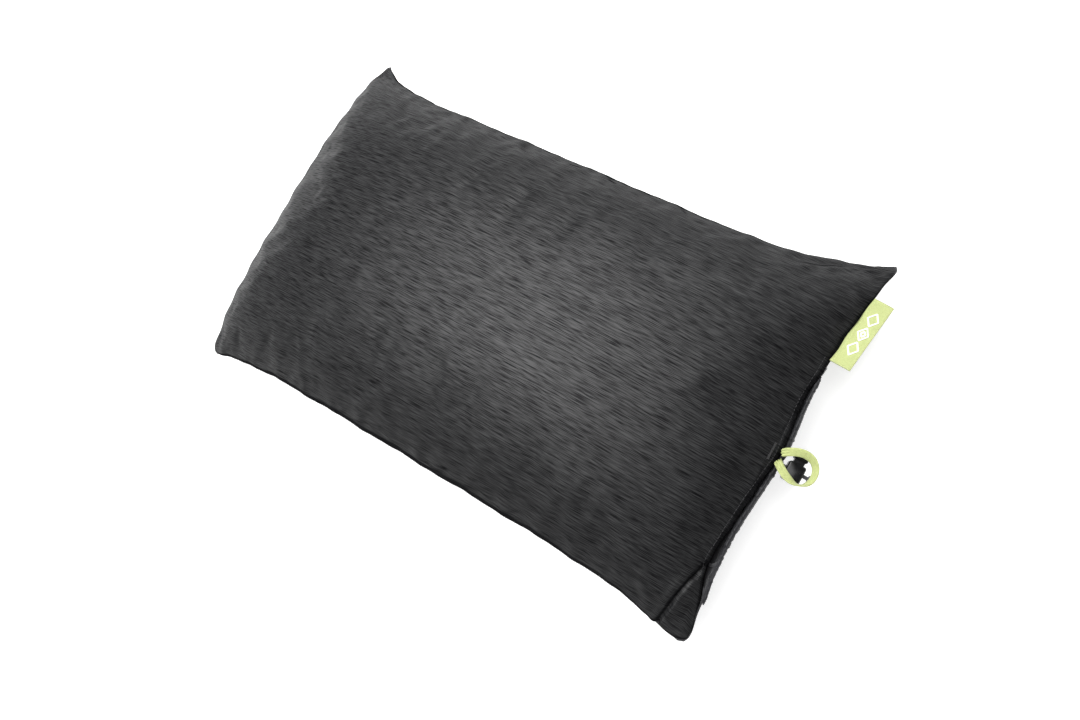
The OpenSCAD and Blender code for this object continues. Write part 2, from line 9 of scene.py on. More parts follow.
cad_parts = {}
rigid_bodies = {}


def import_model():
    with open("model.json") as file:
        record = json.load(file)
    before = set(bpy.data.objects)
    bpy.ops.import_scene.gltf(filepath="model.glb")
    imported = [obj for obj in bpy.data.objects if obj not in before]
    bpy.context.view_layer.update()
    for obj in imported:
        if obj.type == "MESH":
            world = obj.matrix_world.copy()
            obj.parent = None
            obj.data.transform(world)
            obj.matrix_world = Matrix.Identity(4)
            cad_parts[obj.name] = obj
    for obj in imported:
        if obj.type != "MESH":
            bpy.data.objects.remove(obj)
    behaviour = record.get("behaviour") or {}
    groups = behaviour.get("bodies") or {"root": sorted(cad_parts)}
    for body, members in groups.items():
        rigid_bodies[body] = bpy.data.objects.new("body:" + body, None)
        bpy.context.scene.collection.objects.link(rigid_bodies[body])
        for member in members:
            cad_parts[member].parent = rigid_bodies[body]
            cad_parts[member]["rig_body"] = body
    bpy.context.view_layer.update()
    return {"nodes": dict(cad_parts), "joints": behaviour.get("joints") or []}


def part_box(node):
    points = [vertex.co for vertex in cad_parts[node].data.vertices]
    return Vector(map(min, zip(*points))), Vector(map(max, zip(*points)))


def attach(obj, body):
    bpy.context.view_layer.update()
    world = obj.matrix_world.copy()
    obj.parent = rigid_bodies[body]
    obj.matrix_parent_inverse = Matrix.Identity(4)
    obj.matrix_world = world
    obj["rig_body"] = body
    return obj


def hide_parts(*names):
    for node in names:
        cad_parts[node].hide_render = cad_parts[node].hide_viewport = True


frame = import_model()

# The looks of a camp pillow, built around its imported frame. Metres; +Z is up, +X is the slit end.

MM = 0.001
TURN = 2 * math.pi
TINY = 1e-9                     # keeps a division off zero
HALF_L = 227 * MM               # to the corners, before they are rounded
HALF_W = 144 * MM
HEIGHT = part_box("cover_top_panel")[1].z
CORNER_Z = 15 * MM
SEAM_Z = 42 * MM
FRONT_INSET = 12 * MM
BACK_INSET = 24 * MM
END_INSET = 6 * MM
CORNER_CUT = 5 * MM             # how far each corner is rounded back
EAR_POWER = 8                   # how near the corners the drawn-in sides flare out
EAR_X_POWERS = (6, 3)           # how near a corner, along X and along Y, its ear's reach along X starts
EAR_Y_POWERS = (4, 6)           # the same for its reach along Y
ROUND_POWER = 24                # how near the corners their rounding starts
DROOP_POWER = 4                 # how near the corners the seam drops
CROWN_POWER = 2.4               # how broad the crown is
FULLNESS = 0.62                 # how steeply the panels rise from the seam
BASE_DEPTH = SEAM_Z + 8 * MM    # the underside would bulge this far if nothing held it up
SEAM_GAP = 0.15 * MM
SLIT_BACK = 53 * MM
SLIT_FRONT = -98 * MM
SLIT_OPEN = 9 * MM
UPPER_LIFT = 2 * MM
LOWER_OUT = 0.4 * MM            # how far the lower lip stands out past the upper one
SLIT_BLEND = 12                 # how near the end the lips part
SLIT_POWER = 4                  # how quickly they part at both ends of the slit
# where the slit's end is drawn in, how far on either side, and by how much: both lips, then the upper
# alone, which the loop pulls out a little
DRAWN_IN = ((-66 * MM, 34 * MM, 4.2 * MM), (36 * MM, 22 * MM, 2.2 * MM))
UPPER_DRAWN_IN = ((-94 * MM, 20 * MM, 4.5 * MM), (-8 * MM, 11 * MM, -1.5 * MM))
# each corner's end and side, its ear's reach past the plain form along X and Y, and its blunting
EARS = ((-1, 1, 4 * MM, 3 * MM, 0), (-1, -1, 4.5 * MM, 4 * MM, 2 * MM),
        (1, -1, 1 * MM, 8 * MM, 5.5 * MM), (1, 1, 6.5 * MM, 13.5 * MM, 3 * MM))
FABRIC = 1.1 * MM

joints = {joint["name"]: joint for joint in frame["joints"]}


# ---- Camera, floor and light ----

CAMERA_PLACE = (0.3189, -0.0932, 0.6981)
CAMERA_TARGET = (0.0452, -0.0251, 0.050)
CAMERA_ROLL = 47.15             # degrees
CAMERA_LENS = 33.3              # mm, on a sensor that is 36 mm wide
SKY_LIGHT = 0.16
FLOOR_GREY = 0.55
FLOOR_GLOW = 0.75               # keeps the floor plain white, as in the photo
FLOOR_REACH = 6
FLOOR_DROP = 0.3 * MM           # keeps the floor off the pillow's flat underside


def add_object(name, data):
    obj = bpy.data.objects.new(name, data)
    bpy.context.scene.collection.objects.link(obj)
    return obj


def aim(obj, place, target, roll=0.0):
    """Points an object's -Z at target, turned about that line by roll degrees."""
    look = (Vector(target) - Vector(place)).normalized()
    right = look.cross(Vector((0, 0, 1))).normalized()
    up = right.cross(look)
    turn = Matrix.Rotation(math.radians(roll), 3, look)
    axes = Matrix((turn @ right, turn @ up, -look)).transposed()
    obj.matrix_world = Matrix.Translation(place) @ axes.to_4x4()


def add_camera():
    """The photo's view, from above the slit end."""
    data = bpy.data.cameras.new("camera")
    data.sensor_width = 36
    data.lens = CAMERA_LENS
    camera = add_object("camera", data)
    aim(camera, CAMERA_PLACE, CAMERA_TARGET, CAMERA_ROLL)
    bpy.context.scene.camera = camera


def add_softbox(name, place, target, size, power):
    """A rectangular white area light; its power is in watts."""
    data = bpy.data.lights.new(name, "AREA")
    data.shape = "RECTANGLE"
    data.size, data.size_y = size
    data.energy = power
    aim(add_object(name, data), place, target)


def add_floor():
    """A white studio floor, which stays out of the part itself."""
    corners = [(x * FLOOR_REACH, y * FLOOR_REACH, 0) for x, y in ((-1, -1), (1, -1), (1, 1), (-1, 1))]
    white = Shader("floor", Base_Color=(FLOOR_GREY, FLOOR_GREY, FLOOR_GREY, 1), Roughness=0.9,
                   Specular_IOR_Level=0.1, Emission_Color=(1, 1, 1, 1), Emission_Strength=FLOOR_GLOW)
    floor = add_piece("floor", corners, [(0, 1, 2, 3)], white.material)
    floor.location.z = -FLOOR_DROP


def add_stage():
    """The studio: an even pale surround, three softboxes and the floor."""
    world = bpy.data.worlds.new("studio")
    world.use_nodes = True
    bpy.context.scene.world = world
    bpy.context.scene.view_settings.view_transform = "Standard"
    sky = world.node_tree.nodes["Background"]
    sky.inputs["Color"].default_value = (1, 1, 1, 1)
    sky.inputs["Strength"].default_value = SKY_LIGHT
    add_softbox("strip", (-0.51, 0.30, 1.45), (0, 0.30, 0.05), (4.8, 0.85), 57)
    add_softbox("overhead", (-0.25, 0.15, 2.0), (0, 0, 0.05), (1.8, 1.9), 48)
    add_softbox("back", (-0.05, 1.75, 1.25), (0.05, 0, 0.05), (1.2, 0.5), 9)
    add_floor()


# ---- Materials ----

class Shader:
    """A material whose nodes are added by short calls. A value is a number, a vector or a node's socket."""

    def __init__(self, name, **sockets):
        self.material = bpy.data.materials.new(name)
        self.material.use_nodes = True
        self.tree = self.material.node_tree
        self.bsdf = self.tree.nodes["Principled BSDF"]
        for socket, value in sockets.items():
            self.set(socket.replace("_", " "), value)

    def feed(self, slot, value):
        """Links a node's socket to slot, or puts a plain value there."""
        if isinstance(value, bpy.types.NodeSocket):
            self.tree.links.new(value, slot)
        else:
            slot.default_value = value

    def set(self, socket, value):
        self.feed(self.bsdf.inputs[socket], value)

    def node(self, kind, inputs=None, **settings):
        """A new node with its settings and inputs."""
        node = self.tree.nodes.new(kind)
        for key, value in settings.items():
            setattr(node, key, value)
        for key, value in (inputs or {}).items():
            self.feed(node.inputs[key], value)
        return node

    def facing_up(self, low, high):
        """From 0 to 1, as the Z of the surface's normal in the object's own frame goes from low to high."""
        normal = self.node("ShaderNodeTexCoord").outputs["Normal"]
        rise = self.node("ShaderNodeSeparateXYZ", {0: normal}).outputs["Z"]
        return self.spread(rise, low, high)

    def place(self, scale, turn=(0, 0, 0), attribute=None):
        """Coordinates in metres times scale, from the object or from a named attribute of its mesh."""
        if attribute:
            source = self.node("ShaderNodeAttribute", attribute_name=attribute).outputs["Vector"]
        else:
            source = self.node("ShaderNodeTexCoord").outputs["Object"]
        inputs = {"Vector": source, "Scale": scale, "Rotation": turn}
        return self.node("ShaderNodeMapping", inputs).outputs[0]

    def noise(self, where, detail, roughness, distortion=0.0):
        return self.node("ShaderNodeTexNoise", {"Vector": where, "Scale": 1.0, "Detail": detail,
                         "Roughness": roughness, "Distortion": distortion}).outputs["Fac"]

    def wave(self, where, bands, distortion=0.0):
        """Even bands across a coordinate."""
        return self.node("ShaderNodeTexWave", {"Vector": where, "Scale": 1.0, "Distortion": distortion},
                         bands_direction=bands).outputs["Fac"]

    def spread(self, value, low, high, to_low=0.0, to_high=1.0):
        """Maps low to to_low and high to to_high, and holds the value between them."""
        return self.node("ShaderNodeMapRange", {"Value": value, "From Min": low, "From Max": high,
                         "To Min": to_low, "To Max": to_high}).outputs["Result"]

    def math(self, operation, a, b):
        return self.node("ShaderNodeMath", {0: a, 1: b}, operation=operation).outputs[0]

    def weighted(self, *parts):
        """The sum of values, each times its weight."""
        total = self.math("MULTIPLY", *parts[0])
        for value, weight in parts[1:]:
            total = self.math("ADD", total, self.math("MULTIPLY", value, weight))
        return total

    def cross_weave(self, scale, attribute=None):
        """A plain weave's warp and weft."""
        warp = self.wave(self.place((scale, 0, 0), attribute=attribute), "X")
        weft = self.wave(self.place((0, scale, 0), attribute=attribute), "Y")
        return self.math("MULTIPLY", warp, weft)

    def mix(self, share, dark, light):
        """A colour from dark to light, as share goes from 0 to 1."""
        inputs = {"Factor": share, 6: (*dark, 1), 7: (*light, 1)}
        return self.node("ShaderNodeMix", inputs, data_type="RGBA").outputs[2]

    def bump(self, height, depth, strength):
        node = self.node("ShaderNodeBump", {"Height": height, "Distance": depth, "Strength": strength})
        self.set("Normal", node.outputs[0])


def heather_knit():
    """Charcoal heather jersey: short dark and light streaks along the pillow, with a soft shine."""
    s = Shader("heather_knit", Roughness=0.5)
    dashes = s.noise(s.place((75, 1900, 1), attribute="weave"), 1, 0.6, 0.15)
    lines = s.noise(s.place((24, 1250, 7), attribute="weave"), 1, 0.6)
    fibres = s.noise(s.place((120, 2700, 1), attribute="weave"), 2, 0.6)
    mottle = s.math("SUBTRACT", s.noise(s.place((30, 75, 1), attribute="weave"), 3, 0.6), 0.5)
    tone = s.weighted((dashes, 0.55), (fibres, 0.2), (lines, 0.25), (mottle, 0.1))
    share = s.spread(tone, 0.40, 0.60)
    s.set("Base Color", s.mix(share, (0.0028, 0.0028, 0.0033), (0.0165, 0.0167, 0.0175)))
    # the knit's shine fades where it turns down towards the seams
    shine = s.spread(tone, 0.40, 0.60, 0.06, 0.42)
    s.set("Specular IOR Level", s.math("MULTIPLY", shine, s.facing_up(0.52, 0.86)))
    wales = s.wave(s.place((150, 1250, 1), attribute="weave"), "Y", 1.5)
    s.bump(s.math("ADD", tone, s.math("MULTIPLY", wales, 0.1)), 0.2 * MM, 0.35)
    return s.material


def shell_fabric():
    """Plain matt woven polyester for the underside."""
    s = Shader("shell_fabric", Roughness=0.85, Sheen_Weight=0.12, Specular_IOR_Level=0.25)
    weave = s.cross_weave(1500, "weave")
    mottle = s.noise(s.place((60, 60, 60)), 4, 0.6)
    tone = s.math("MULTIPLY", weave, mottle)
    s.set("Base Color", s.mix(tone, (0.018, 0.018, 0.020), (0.055, 0.055, 0.06)))
    s.set("Roughness", s.spread(mottle, 0.3, 0.7, 0.75, 0.92))
    s.bump(weave, 0.15 * MM, 0.4)
    return s.material


def woven_tape(name, dark, light):
    """Fine plain weave in the object's own coordinates, for the binding."""
    s = Shader(name, Roughness=0.8, Sheen_Weight=0.15, Specular_IOR_Level=0.3)
    weave = s.cross_weave(1300)
    mottle = s.noise(s.place((90, 90, 90)), 4, 0.6)
    s.set("Base Color", s.mix(s.math("MULTIPLY", s.math("ADD", weave, mottle), 0.6), dark, light))
    s.set("Roughness", s.spread(mottle, 0.3, 0.7, 0.7, 0.88))
    s.bump(weave, 0.12 * MM, 0.4)
    return s.material


def ripstop_nylon():
    """Thin dark nylon with a faint ripstop grid and a soft shine along its folds, partly rendered and
    partly painted: the colour is lighter on the folds' ridges and darker in their hollows.
    """
    s = Shader("ripstop_nylon", Roughness=0.5, Sheen_Weight=0.04, Specular_IOR_Level=0.3)
    grid_x = s.spread(s.wave(s.place((200, 0, 0)), "X"), 0.93, 1.0)
    grid_y = s.spread(s.wave(s.place((0, 200, 0)), "Y"), 0.93, 1.0)
    grid = s.math("MAXIMUM", grid_x, grid_y)
    folds_and_painted_sheen = s.noise(s.place((140, 60, 140)), 4, 0.6, 0.6)
    # painted sheen and shade: the colour follows the folds, lighter on their ridges and darker in their
    # hollows
    s.set("Base Color", s.mix(s.spread(folds_and_painted_sheen, 0.3, 0.75), (0.006, 0.006, 0.008), (0.022, 0.022, 0.025)))
    s.set("Roughness", s.spread(folds_and_painted_sheen, 0.25, 0.75, 0.42, 0.66))
    s.bump(s.math("ADD", s.math("MULTIPLY", grid, 0.3), folds_and_painted_sheen), 0.3 * MM, 0.5)
    return s.material


def grosgrain():
    """Lime ribbon: close ribs across its length."""
    s = Shader("grosgrain", Roughness=0.72, Specular_IOR_Level=0.25, Sheen_Weight=0.3,
               Sheen_Roughness=0.4)
    ribs = s.wave(s.place((700, 0, 0), attribute="weave"), "X")
    threads = s.noise(s.place((500, 2600, 1), attribute="weave"), 2, 0.5)
    tone = s.weighted((ribs, 0.45), (threads, 0.55))
    s.set("Base Color", s.mix(s.spread(tone, 0.2, 0.75), (0.20, 0.235, 0.065), (0.55, 0.60, 0.27)))
    s.bump(tone, 0.35 * MM, 0.7)
    return s.material


def damask():
    """The label's satin ground, woven much finer than the ribbon."""
    s = Shader("damask", Roughness=0.6, Sheen_Weight=0.25, Specular_IOR_Level=0.3)
    rows = s.wave(s.place((0, 2000, 0), attribute="weave"), "Y")
    threads = s.noise(s.place((2500, 500, 1), attribute="weave"), 2, 0.5)
    tone = s.weighted((rows, 0.4), (threads, 0.6))
    s.set("Base Color", s.mix(s.spread(tone, 0.25, 0.75), (0.29, 0.33, 0.12), (0.44, 0.485, 0.215)))
    s.bump(tone, 0.15 * MM, 0.5)
    return s.material


def thread(name, dark, light):
    """Twisted sewing thread."""
    s = Shader(name, Roughness=0.7, Sheen_Weight=0.25, Specular_IOR_Level=0.3)
    twist = s.wave(s.place((1500, 1500, 0), (0, 0, 0.6)), "DIAGONAL")
    s.set("Base Color", s.mix(twist, dark, light))
    s.bump(twist, 0.1 * MM, 0.5)
    return s.material


def braid():
    """Dark braided cord, in coordinates along and around the cord."""
    s = Shader("braid", Roughness=0.66, Sheen_Weight=0.2, Specular_IOR_Level=0.3)
    one = s.wave(s.place((700, 3.0, 0), attribute="weave"), "DIAGONAL")
    other = s.wave(s.place((700, -3.0, 0), attribute="weave"), "DIAGONAL")
    plait = s.math("MAXIMUM", one, other)
    s.set("Base Color", s.mix(plait, (0.012, 0.012, 0.013), (0.045, 0.045, 0.049)))
    s.bump(plait, 0.2 * MM, 0.7)
    return s.material


def moulded(name, colour, roughness, speck=0.12, shine=0.5):
    """Moulded plastic or rubber: an even colour with a fine grain and handling marks."""
    s = Shader(name, Roughness=roughness, Specular_IOR_Level=shine)
    grain = s.noise(s.place((1800, 1800, 1800)), 3, 0.6)
    wear = s.noise(s.place((220, 220, 220)), 4, 0.7)
    lighter = tuple(min(1, c * (1 + speck * 4) + 0.004) for c in colour)
    s.set("Base Color", s.mix(s.spread(wear, 0.35, 0.8), colour, lighter))
    s.set("Roughness", s.spread(wear, 0.25, 0.8, max(0.05, roughness - 0.08), roughness + 0.12))
    s.bump(grain, 0.04 * MM, 0.35)
    return s.material


def steel():
    """Bright drawn steel wire."""
    s = Shader("steel", Metallic=1.0, Roughness=0.3)
    drawn = s.noise(s.place((300, 300, 6000)), 3, 0.6)
    s.set("Base Color", s.mix(drawn, (0.50, 0.50, 0.51), (0.72, 0.72, 0.73)))
    s.set("Roughness", s.spread(drawn, 0.2, 0.8, 0.22, 0.42))
    return s.material


def open_foam():
    """Pale open-cell foam: small round pores and an uneven cream colour."""
    s = Shader("open_foam", Roughness=0.95, Specular_IOR_Level=0.1)
    cells = s.node("ShaderNodeTexVoronoi", {"Vector": s.place((700, 700, 700)), "Scale": 1.0})
    pores = cells.outputs["Distance"]
    tone = s.math("MULTIPLY", s.spread(pores, 0.0, 0.6), s.noise(s.place((40, 40, 40)), 4, 0.6))
    s.set("Base Color", s.mix(tone, (0.55, 0.50, 0.38), (0.88, 0.85, 0.74)))
    s.bump(pores, 0.6 * MM, 0.8)
    return s.material


def coated():
    """Film-coated cell fabric: grey, slightly shiny, with a faint weave under the film."""
    s = Shader("coated", Roughness=0.42, Specular_IOR_Level=0.5)
    film = s.noise(s.place((70, 70, 70)), 4, 0.6)
    s.set("Base Color", s.mix(film, (0.10, 0.11, 0.12), (0.22, 0.23, 0.25)))
    s.set("Roughness", s.spread(film, 0.25, 0.75, 0.32, 0.55))
    s.bump(s.cross_weave(900), 0.1 * MM, 0.3)
    return s.material


# ---- Mesh helpers ----

def add_piece(name, verts, faces, material):
    """A new smooth-shaded object from points and faces."""
    mesh = bpy.data.meshes.new(name)
    mesh.from_pydata([tuple(v) for v in verts], [], faces)
    mesh.validate()
    mesh.materials.append(material)
    mesh.shade_smooth()
    return add_object(name, mesh)


def finish_piece(piece, body, slot, *nodes):
    """Puts a piece on its body and hides the CAD nodes that it replaces. Its slot is not used."""
    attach(piece, body)
    if nodes:
        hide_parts(*nodes)
    return piece


def coords(mesh):
    """The mesh's points, one row each."""
    values = np.zeros(len(mesh.vertices) * 3)
    mesh.vertices.foreach_get("co", values)
    return values.reshape(-1, 3)


def set_coords(mesh, values):
    mesh.vertices.foreach_set("co", np.ascontiguousarray(values, dtype=np.float32).ravel())
    mesh.update()


def set_vector(mesh, name, values):
    """Keeps one vector a point, under a name that shaders can read."""
    attribute = mesh.attributes.get(name) or mesh.attributes.new(name, "FLOAT_VECTOR", "POINT")
    attribute.data.foreach_set("vector", np.ascontiguousarray(values, dtype=np.float32).ravel())


def get_vector(mesh, name):
    values = np.zeros(len(mesh.vertices) * 3, np.float32)
    mesh.attributes[name].data.foreach_get("vector", values)
    return values.reshape(-1, 3).astype(float)


def bake_modifiers(piece):
    """Puts the result of a piece's modifiers into its mesh, and clears them."""
    graph = bpy.context.evaluated_depsgraph_get()
    mesh = bpy.data.meshes.new_from_object(piece.evaluated_get(graph), preserve_all_data_layers=True,
                                           depsgraph=graph)
    piece.modifiers.clear()
    piece.data = mesh


def grid_faces(rows, columns, close_columns=False, flip=False):
    """Quads between the points of a grid, whose columns may close into a ring."""
    faces = []
    for i in range(rows - 1):
        for j in range(columns if close_columns else columns - 1):
            a, b = i * columns + j, i * columns + (j + 1) % columns
            c, d = b + columns, a + columns
            faces.append((a, b, c, d) if flip else (a, d, c, b))
    return faces


def sweep(name, rings, material, flip=False):
    """A tube or strip through rings of points, capped at both ends."""
    rows, columns = len(rings), len(rings[0])
    verts = np.array([p for ring in rings for p in ring])
    faces = grid_faces(rows, columns, True, flip)
    first, last = list(range(columns)), list(range((rows - 1) * columns, rows * columns))
    faces += [first if flip else first[::-1], last[::-1] if flip else last]
    return add_piece(name, verts, faces, material)


def path_frames(points):
    """Travel, side and up at each point of a path, turning as little as they can."""
    points = [Vector(p) for p in points]
    frames, up = [], Vector((0, 0, 1))
    for i, point in enumerate(points):
        travel = (points[min(i + 1, len(points) - 1)] - points[max(i - 1, 0)]).normalized()
        side = travel.cross(up)
        if side.length < 1e-6:
            side = travel.cross(Vector((1, 0, 0)))
        side.normalize()
        up = side.cross(travel).normalized()
        frames.append((point, travel, side, up))
    return frames


def run_along(frames):
    """The distance along a path to each of its frames."""
    return np.concatenate([[0], np.cumsum([(b[0] - a[0]).length for a, b in zip(frames, frames[1:])])])


def tube(name, points, radius, material, sides):
    """A round tube along a path, with coordinates along and around it for its weave."""
    frames = path_frames(points)
    angles = [TURN * k / sides for k in range(sides)]
    rings = [[middle + radius * (math.cos(a) * side + math.sin(a) * up) for a in angles]
             for middle, _, side, up in frames]
    piece = sweep(name, rings, material)
    weave = [(run, k / sides, 0) for run in run_along(frames) for k in range(sides)]
    set_vector(piece.data, "weave", weave)
    return piece


def smooth_path(points, steps):
    """A Catmull-Rom curve through the points."""
    points = [Vector(p) for p in points]
    ends = [2 * points[0] - points[1]] + points + [2 * points[-1] - points[-2]]
    out = []
    for i in range(1, len(ends) - 2):
        a, b, c, d = ends[i - 1:i + 3]
        for k in range(steps):
            t = k / steps
            out.append(0.5 * (2 * b + (c - a) * t + (2 * a - 5 * b + 4 * c - d) * t ** 2
                              + (3 * b - 3 * c + d - a) * t ** 3))
    return out + [points[-1]]


def join_pieces(name, pieces):
    """One piece made of several, which share their first one's attributes and materials."""
    bpy.ops.object.select_all(action="DESELECT")
    for piece in pieces:
        piece.select_set(True)
    bpy.context.view_layer.objects.active = pieces[0]
    bpy.ops.object.join()
    pieces[0].name = name
    return pieces[0]


def restyled(node, material, slot, bevel=0.0, angle=35, smooth_steps=0):
    """A piece with a CAD node's shape, with its corners welded and its edges rounded."""
    source = frame["nodes"][node]
    mesh = bmesh.new()
    mesh.from_mesh(source.data)
    bmesh.ops.remove_doubles(mesh, verts=mesh.verts, dist=1e-6)
    bmesh.ops.dissolve_limit(mesh, angle_limit=math.radians(1), verts=mesh.verts, edges=mesh.edges)
    data = bpy.data.meshes.new(node + "_finish")
    mesh.to_mesh(data)
    mesh.free()
    data.materials.append(material)
    piece = add_object(node + "_finish", data)
    if bevel:
        rounding = piece.modifiers.new("bevel", "BEVEL")
        rounding.width = bevel
        rounding.segments = 3
        rounding.limit_method = "ANGLE"
        rounding.angle_limit = math.radians(angle)
        bake_modifiers(piece)
    if smooth_steps:
        relax = piece.modifiers.new("smooth", "SMOOTH")
        relax.iterations = smooth_steps
        relax.factor = 0.5
        bake_modifiers(piece)
    piece.data.shade_smooth()
    piece.data.set_sharp_from_angle(angle=math.radians(angle))
    return finish_piece(piece, source["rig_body"], slot, node)


# ---- The pillow's form: u runs along X and v along Y, both from -1 to 1 ----

def plan(u, v):
    """X and Y of a point of the cover: drawn in between the corners, and drawn out at each ear."""
    pull_u = 1 - np.abs(u) ** EAR_POWER
    pull_v = 1 - np.abs(v) ** EAR_POWER
    inset = np.where(v < 0, FRONT_INSET, BACK_INSET)
    cut = CORNER_CUT * np.abs(u * v) ** ROUND_POWER
    x = u * (HALF_L - END_INSET * pull_v - cut)
    y = v * (HALF_W - inset * pull_u - cut)
    for end, side, out_x, out_y, blunt in EARS:
        near_u, near_v = np.clip(u * end, 0, 1), np.clip(v * side, 0, 1)
        cut = blunt * (near_u * near_v) ** ROUND_POWER
        x = x + end * (out_x * near_u ** EAR_X_POWERS[0] * near_v ** EAR_X_POWERS[1] - cut)
        y = y + side * (out_y * near_u ** EAR_Y_POWERS[0] * near_v ** EAR_Y_POWERS[1] - cut)
    return x, y


def seam_z(u, v):
    """The height of the side seam, carried across the whole cover."""
    return CORNER_Z + (SEAM_Z - CORNER_Z) * (1 - np.abs(u * v) ** DROOP_POWER)


def dome(u, v):
    """The crown's share of its full height: 0 at the seam and 1 in the middle."""
    rise = (1 - np.abs(u) ** CROWN_POWER) * (1 - np.abs(v) ** CROWN_POWER)
    return np.clip(rise, 0, 1) ** FULLNESS


def slit_share(y):
    """How far the slit is open at y: 0 outside it and 1 in its middle."""
    middle, half = (SLIT_BACK + SLIT_FRONT) / 2, (SLIT_BACK - SLIT_FRONT) / 2
    return np.clip(1 - np.abs((y - middle) / half) ** SLIT_POWER, 0, 1)


def end_share(u):
    """How much of what the slit's end does reaches a point: 1 at the end and 0 in the other half."""
    return np.where(u > 0, np.abs(u) ** SLIT_BLEND, 0)


def bell(value, middle, reach, height):
    return height * np.exp(-((value - middle) / reach) ** 2)


def cover_point(u, v, top):
    """A point of the top or bottom panel's plain form."""
    x, y = plan(u, v)
    near = end_share(u) * slit_share(y)
    x = x - end_share(u) * sum(bell(y, *part) for part in DRAWN_IN + (UPPER_DRAWN_IN if top else ()))
    if top:
        z = seam_z(u, v) + SEAM_GAP + UPPER_LIFT * near + (HEIGHT - SEAM_Z - SEAM_GAP) * dome(u, v)
    else:
        x = x + LOWER_OUT * near
        z = seam_z(u, v) - SEAM_GAP - (SLIT_OPEN - UPPER_LIFT) * near - BASE_DEPTH * dome(u, v)
    return x, y, z


def lip(y, top=True):
    """The point of the slit's upper or lower edge at a given y."""
    v = y / HALF_W
    x, _, z = cover_point(np.float64(1), np.float64(v), top)
    return Vector((float(x), y, float(z)))


# ---- Cover ----

PANEL_GRID = (150, 96)          # points along X and along Y
EDGE_BIAS = 0.55                # how much closer together they are near the edges
CLOTH_FRAMES = 20
CLOTH_PRESSURE = 2.5
CLOTH_GROWTH = 0.012            # how much longer the cloth is than the form it starts from
CLOTH_CAP = 12 * MM             # how far a point of it may move
FOLD_CELLS = 12                 # folds narrower than about this many cells of the grid are kept
FOLD_DEPTH = 2 * MM
FOLD_START = 6 * MM             # how far from the edge a fold reaches its full depth
# the sides' and the ends' uneven edges: shares, wavelengths and phases
SIDE_WANDER = ((0.5, 61 * MM, 0.4), (0.3, 27 * MM, 1.9), (0.2, 14.5 * MM, 0.2))
END_WANDER = ((0.5, 52 * MM, 1.1), (0.5, 23 * MM, 0.3))
VALVE_WINDOW = 17 * MM          # the radius of the underside's opening over the valve


def edge_biased(n):
    """n values from -1 to 1, closer together towards both ends."""
    t = np.linspace(-1, 1, n)
    return (1 - EDGE_BIAS) * t + EDGE_BIAS * np.sin(t * math.pi / 2)


def capped(moves, cap):
    """Vectors, the longer ones shortened to cap."""
    length = np.linalg.norm(moves, axis=-1, keepdims=True)
    return moves * np.minimum(1, cap / np.maximum(length, TINY))


def inflate(piece, held):
    """How far cloth under pressure, held at some of its points, moves each of them."""
    scene = bpy.context.scene
    start = coords(piece.data)
    group = piece.vertex_groups.new(name="held")
    group.add([int(i) for i in np.flatnonzero(held)], 1.0, "REPLACE")
    cloth = piece.modifiers.new("cloth", "CLOTH")
    settings = cloth.settings
    settings.quality = 5
    settings.mass = 0.15
    settings.tension_stiffness = 12
    settings.compression_stiffness = 6
    settings.shear_stiffness = 4
    settings.bending_stiffness = 0.08
    settings.use_pressure = True
    settings.uniform_pressure_force = CLOTH_PRESSURE
    settings.shrink_min = -CLOTH_GROWTH
    settings.shrink_max = -CLOTH_GROWTH
    settings.vertex_group_mass = group.name
    settings.pin_stiffness = 1
    settings.effector_weights.gravity = 0
    cloth.collision_settings.use_collision = False
    cloth.collision_settings.use_self_collision = False
    cloth.point_cache.frame_start = 1
    cloth.point_cache.frame_end = CLOTH_FRAMES
    for step in range(1, CLOTH_FRAMES + 1):
        scene.frame_set(step)
    graph = bpy.context.evaluated_depsgraph_get()
    moved = coords(piece.evaluated_get(graph).to_mesh())
    piece.modifiers.remove(cloth)
    piece.vertex_groups.clear()
    scene.frame_set(1)
    return capped(moved - start, CLOTH_CAP)


def soften(values, cells):
    """A grid of vectors, averaged over a bell that is this many cells wide."""
    reach = np.arange(-3 * cells, 3 * cells + 1)
    weights = np.exp(-(reach / cells) ** 2 / 2)
    weights /= weights.sum()
    for axis in (0, 1):
        pads = [(0, 0)] * 3
        pads[axis] = (3 * cells, 3 * cells)
        padded = np.pad(values, pads, mode="edge")
        values = np.apply_along_axis(lambda line: np.convolve(line, weights, "valid"), axis, padded)
    return values


def weave_along(grid):
    """Distances along both directions of a grid of points, for a weave that keeps its scale."""
    du = np.linalg.norm(np.diff(grid, axis=0), axis=2)
    dv = np.linalg.norm(np.diff(grid, axis=1), axis=2)
    rows, columns = grid.shape[:2]
    run_u = np.concatenate([np.zeros((1, columns)), np.cumsum(du, axis=0)])
    run_v = np.concatenate([np.zeros((rows, 1)), np.cumsum(dv, axis=1)], axis=1)
    run_u -= run_u[rows // 2]
    run_v -= run_v[:, [columns // 2]]
    return np.stack([run_u, run_v, np.zeros_like(run_u)], -1).reshape(-1, 3)


def outer_share(t, start):
    """From 0 at start to 1 at the edge, on both sides of the cover."""
    return np.clip((np.abs(t) - start) / (1 - start), 0, 1) ** 2


def ripples(distance, parts):
    return sum(share * np.sin(TURN * distance / wavelength + phase) for share, wavelength, phase in parts)


def dress_edges(u, v, x, y, z):
    """Uneven edges: what a sewn, stuffed case has along its sides and at its corners."""
    along = outer_share(v, 0.86) * ripples(x, SIDE_WANDER)
    across = outer_share(u, 0.92) * ripples(y, END_WANDER)
    x = x + np.sign(u) * across * 0.6 * MM
    y = y + np.sign(v) * along * 0.7 * MM
    return x, y, z + (along + across) * 0.5 * MM


